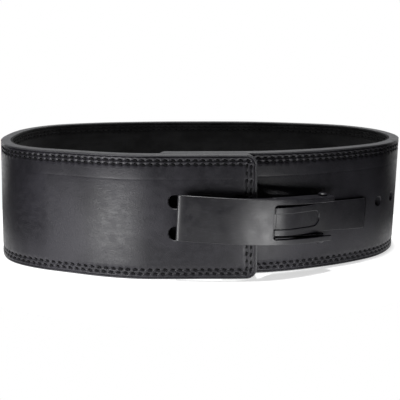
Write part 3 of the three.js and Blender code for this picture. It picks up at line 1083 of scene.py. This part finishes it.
@dataclass
class Rivet:
    """A domed rivet through an arm of the lever."""

    name: str
    node: str
    buckle: BuckleFrame
    side: int
    shank_radius: float = 0.0023
    head_radius: float = 0.004
    head_height: float = 0.002
    head_lift: float = 0.0002
    dome: float = 0.0017
    dome_segments: int = 7
    sides: int = 40
    smooth: float = 40

    def build(self, coat: Material) -> None:
        """Makes the shank and its domed head as one turned shape."""
        buckle = self.buckle
        x, z = buckle.plan(buckle.rivet_at, buckle.rivet_rise)
        inner = buckle.arm_face - buckle.hook_thickness
        head = buckle.lever_width / 2 + buckle.gap
        low = Vector((x, self.side * inner, z))
        high = Vector((x, self.side * (head + self.head_lift), z))
        rivet = new_cylinder(self.name, self.shank_radius, low, high, self.sides)
        mark_level(rivet, 1, high.y)
        wide = self.head_radius / self.shank_radius
        up = self.side * (self.head_height - self.head_lift)
        with editing(rivet):
            shoulder((0, 0, 0), (wide, 1, wide), high, (0, up, 0))
            bpy.ops.mesh.bevel(offset=self.dome, segments=self.dome_segments, affect="EDGES")
        turn_faces_out(rivet)
        place_at_origin(rivet, buckle.matrix)
        shade(rivet, self.smooth)
        settle(rivet, [self.node], [coat])


@dataclass
class Screw:
    """A low wide screw with a hexagonal socket, put in from the lining."""

    name: str
    node: str
    path: StrapPath
    along: float
    head_radius: float = 0.007
    head_height: float = 0.0015
    head_round: float = 0.00075
    head_segments: int = 4
    shank_radius: float = 0.0037
    gap: float = 0.0003
    socket_radius: float = 0.0023
    socket_depth: float = 0.0011
    socket_sides: int = 6
    overshoot: float = 0.001
    arris: float = 0.00018
    arris_segments: int = 2
    sharp_radians: float = 0.6
    sides: int = 48
    smooth: float = 35

    def build(self, coat: Material, pale_edge: Material) -> None:
        """Makes the head, its socket and the shank."""
        under = -self.path.thickness - self.gap
        low, high = Vector((0, 0, under - self.head_height)), Vector((0, 0, under))
        screw = new_cylinder(self.name, self.head_radius, low, high, self.sides)
        mark_level(screw, 2, low.z)
        with editing(screw):
            bpy.ops.mesh.bevel(offset=self.head_round, segments=self.head_segments, affect="EDGES")
        mark_level(screw, 2, high.z)
        slim = self.shank_radius / self.head_radius
        with editing(screw):
            shoulder((0, 0, 0), (slim, slim, 1), high, (0, 0, self.path.thickness))
        turn_faces_out(screw)
        outside, deep = low - Vector((0, 0, self.overshoot)), low + Vector((0, 0, self.socket_depth))
        cut_away(screw, [new_cylinder("socket", self.socket_radius, outside, deep, self.socket_sides)])
        # The bevel's faces take the paler arris finish: worn coating with a painted highlight.
        apply_modifier(
            screw,
            "BEVEL",
            width=self.arris,
            segments=self.arris_segments,
            limit_method="ANGLE",
            angle_limit=self.sharp_radians,
            material=1,
        )
        place_at_origin(screw, self.path.face_frame(self.along))
        shade(screw, self.smooth)
        settle(screw, [self.node], [coat, pale_edge])


# Studio


@dataclass(frozen=True)
class Panel:
    """A soft rectangular light that the camera doesn't see."""

    name: str
    place: Triple
    size: Pair
    watts: float
    aim: Triple

    def build(self) -> None:
        """Hangs the light and turns it towards its aim."""
        data = bpy.data.lights.new(self.name, "AREA")
        data.shape = "RECTANGLE"
        data.size, data.size_y = self.size
        data.energy = self.watts
        light = add_object(self.name, data)
        light.location = self.place
        light.rotation_euler = (Vector(self.aim) - Vector(self.place)).to_track_quat("-Z", "Y").to_euler()
        light.visible_camera = False


@dataclass
class Studio:
    """A round white table in white surroundings, lit from above and seen at the photograph's angle."""

    centre: Vector
    distance: float = 0.8
    elevation: float = math.radians(11.27)
    azimuth: float = math.radians(-1.0)
    sensor: float = 36
    lens: float = 78.2
    shift: Pair = (0.0056, -0.025)
    table_place: Triple = (-0.01, 0.02, 0)
    table_radius: float = 0.24
    table_sides: int = 96
    table_greys: Pair = (0.49, 0.52)
    table_glow: float = 0.6
    fleck_size: float = 0.05
    room_light: float = 0.01
    overhead: float = 3.75
    overhead_angle: float = math.radians(5)
    overhead_tilt: float = math.radians(-1)
    panels: tuple[Panel, ...] = (
        Panel("front_left", (-0.155, -0.22, 0.008), (0.10, 0.10), 0.38, (-0.08, -0.10, 0.06)),
        Panel("front_right", (0.09, -0.20, 0.008), (0.08, 0.05), 0.12, (0.06, -0.12, 0.05)),
        Panel("back_left", (-0.33, 0.20, 0.07), (0.16, 0.12), 0.10, (-0.18, 0.0, 0.05)),
        Panel("back_right", (0.33, 0.20, 0.07), (0.16, 0.12), 0.07, (0.18, 0.0, 0.05)),
        Panel("backdrop", (0, 1.2, 0.35), (2.6, 0.9), 4.0, (0, 0, 0.1)),
    )

    def build(self) -> None:
        """Makes the table, the world, the lights and the camera."""
        self.table()
        self.world()
        self.lights()
        self.camera()

    def table(self) -> None:
        """A round matt white table that glows a little."""
        select_none()
        bpy.ops.mesh.primitive_circle_add(
            vertices=self.table_sides, radius=self.table_radius, fill_type="NGON", location=self.table_place
        )
        table = bpy.context.object
        table.name = "table"
        dark, pale = ((grey, grey, grey) for grey in self.table_greys)
        surface = Surface("white_table", pale, 0.6)
        surface.set(**{"Specular IOR Level": 0.1})
        surface.set(**{"Emission Color": (1, 1, 1, 1), "Emission Strength": self.table_glow})
        fleck = surface.noise(surface.object_place(), self.fleck_size, 2, 0.5)
        surface.paint(surface.tint(surface.spread(fleck, 0.3, 0.7), dark, pale))
        table.data.materials.append(surface.material)

    def world(self) -> None:
        """White where the camera sees past the table, and a dim room for all other light."""
        world = bpy.data.worlds.new("room")
        bpy.context.scene.world = world
        world.use_nodes = True
        tree = world.node_tree
        ground = tree.nodes["Background"]
        ground.inputs["Color"].default_value = (1, 1, 1, 1)
        seen = tree.nodes.new("ShaderNodeLightPath")
        strength = tree.nodes.new("ShaderNodeMapRange")
        tree.links.new(seen.outputs["Is Camera Ray"], strength.inputs["Value"])
        strength.inputs["To Min"].default_value = self.room_light
        strength.inputs["To Max"].default_value = 1.0
        tree.links.new(strength.outputs["Result"], ground.inputs["Strength"])

    def lights(self) -> None:
        """A nearly upright light, low panels in front of the belt and behind it, and a backdrop."""
        data = bpy.data.lights.new("overhead", "SUN")
        data.energy = self.overhead
        data.angle = self.overhead_angle
        add_object("overhead", data).rotation_euler = (self.overhead_tilt, 0, 0)
        for panel in self.panels:
            panel.build()

    def camera(self) -> None:
        """The camera at the photograph's angle."""
        data = bpy.data.cameras.new("camera")
        data.sensor_width = self.sensor
        data.lens = self.lens
        data.shift_x, data.shift_y = self.shift
        camera = add_object("camera", data)
        level, rise = math.cos(self.elevation), math.sin(self.elevation)
        back = Vector((math.sin(self.azimuth) * level, -math.cos(self.azimuth) * level, rise))
        camera.location = self.centre + self.distance * back
        camera.rotation_euler = (-back).to_track_quat("-Z", "Y").to_euler()
        bpy.context.scene.camera = camera
        bpy.context.scene.view_settings.view_transform = "Standard"


def build_strap(path: StrapPath, holes: Holes) -> None:
    """Makes the leather, its lining and the stitches on both faces."""
    outer_rows = StitchRows()
    inner_rows = StitchRows(channel_depth=0.0002, pit_depth=0.0007)
    thread = WaxedThread().material()
    leather, cut, suede = BlackLeather().material(), CutEdge().material(), BlackSuede().material()
    StrapLayer("strap_leather", "belt_leather", Slot.LEATHER, path, holes, outer_rows).build(leather, cut)
    StrapLayer(
        "strap_lining", "suede_lining", Slot.SUEDE, path, holes, inner_rows,
        shown=path.thickness, hidden=0.0087, cut=(0.0057, 0.0102), edge_radius=0.0005, lip=0.0002,
        columns_per_stitch=4, middle_rows=8, side_depths=(0.0093,),
    ).build(suede, suede)
    under_flap = (-1, path.flap_reach)
    over_end = (path.length - path.inner_reach, path.length + 1)
    for name, rows, depth, outward, skip, slot in (
        ("outer_stitching", outer_rows, 0.0, 1, under_flap, Slot.LEATHER),
        ("lining_stitching", inner_rows, path.thickness, -1, over_end, Slot.SUEDE),
    ):
        Stitching(name, path, rows, depth, outward, skip).build(thread, slot)


def build_buckle(path: StrapPath, holes: Holes) -> None:
    """Makes the buckle's steel, its rivets and its screws."""
    coat = PowderCoat().material()
    # The arrises' finish: far paler than the coat, partly worn coating and partly a painted highlight on the
    # rounded edges.
    edge = PowderCoat("worn_and_highlit_steel_edge", (0.13, 0.13, 0.135), (0.28, 0.28, 0.285), (0.25, 0.36))
    pale_edge = edge.material()
    for name, node, round_over in (
        ("buckle_lever", "lever", 0.0005),
        ("buckle_mounting_plate", "mounting_plate", 0.00045),
        ("buckle_hook_plate", "hook_plate", 0.00045),
        ("buckle_pivot_pin", "pivot_pin", 0.0004),
    ):
        PressedSteel(name, node, round_over).build(coat, pale_edge)
    buckle = BuckleFrame(path)
    Rivet("buckle_upper_rivet", "upper_rivet", buckle, 1).build(coat)
    Rivet("buckle_lower_rivet", "lower_rivet", buckle, -1).build(coat)
    first = holes.first_screw_at
    Screw("plate_left_screw", "left_screw", path, first).build(coat, pale_edge)
    Screw("plate_right_screw", "right_screw", path, first + holes.screw_pitch).build(coat, pale_edge)


def main() -> None:
    """Builds the belt, piece by piece, and its studio."""
    logging.basicConfig(level=logging.INFO, format="%(message)s")
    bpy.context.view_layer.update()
    path = StrapPath()
    holes = Holes()
    build_strap(path, holes)
    build_buckle(path, holes)
    # The middle of the view, a little left of the loop's own and in front of it.
    aside = (-0.00225, -0.00775)
    Studio(Vector((*(path.shift + np.array(aside)), path.height / 2))).build()


if __name__ == "__main__":
    main()
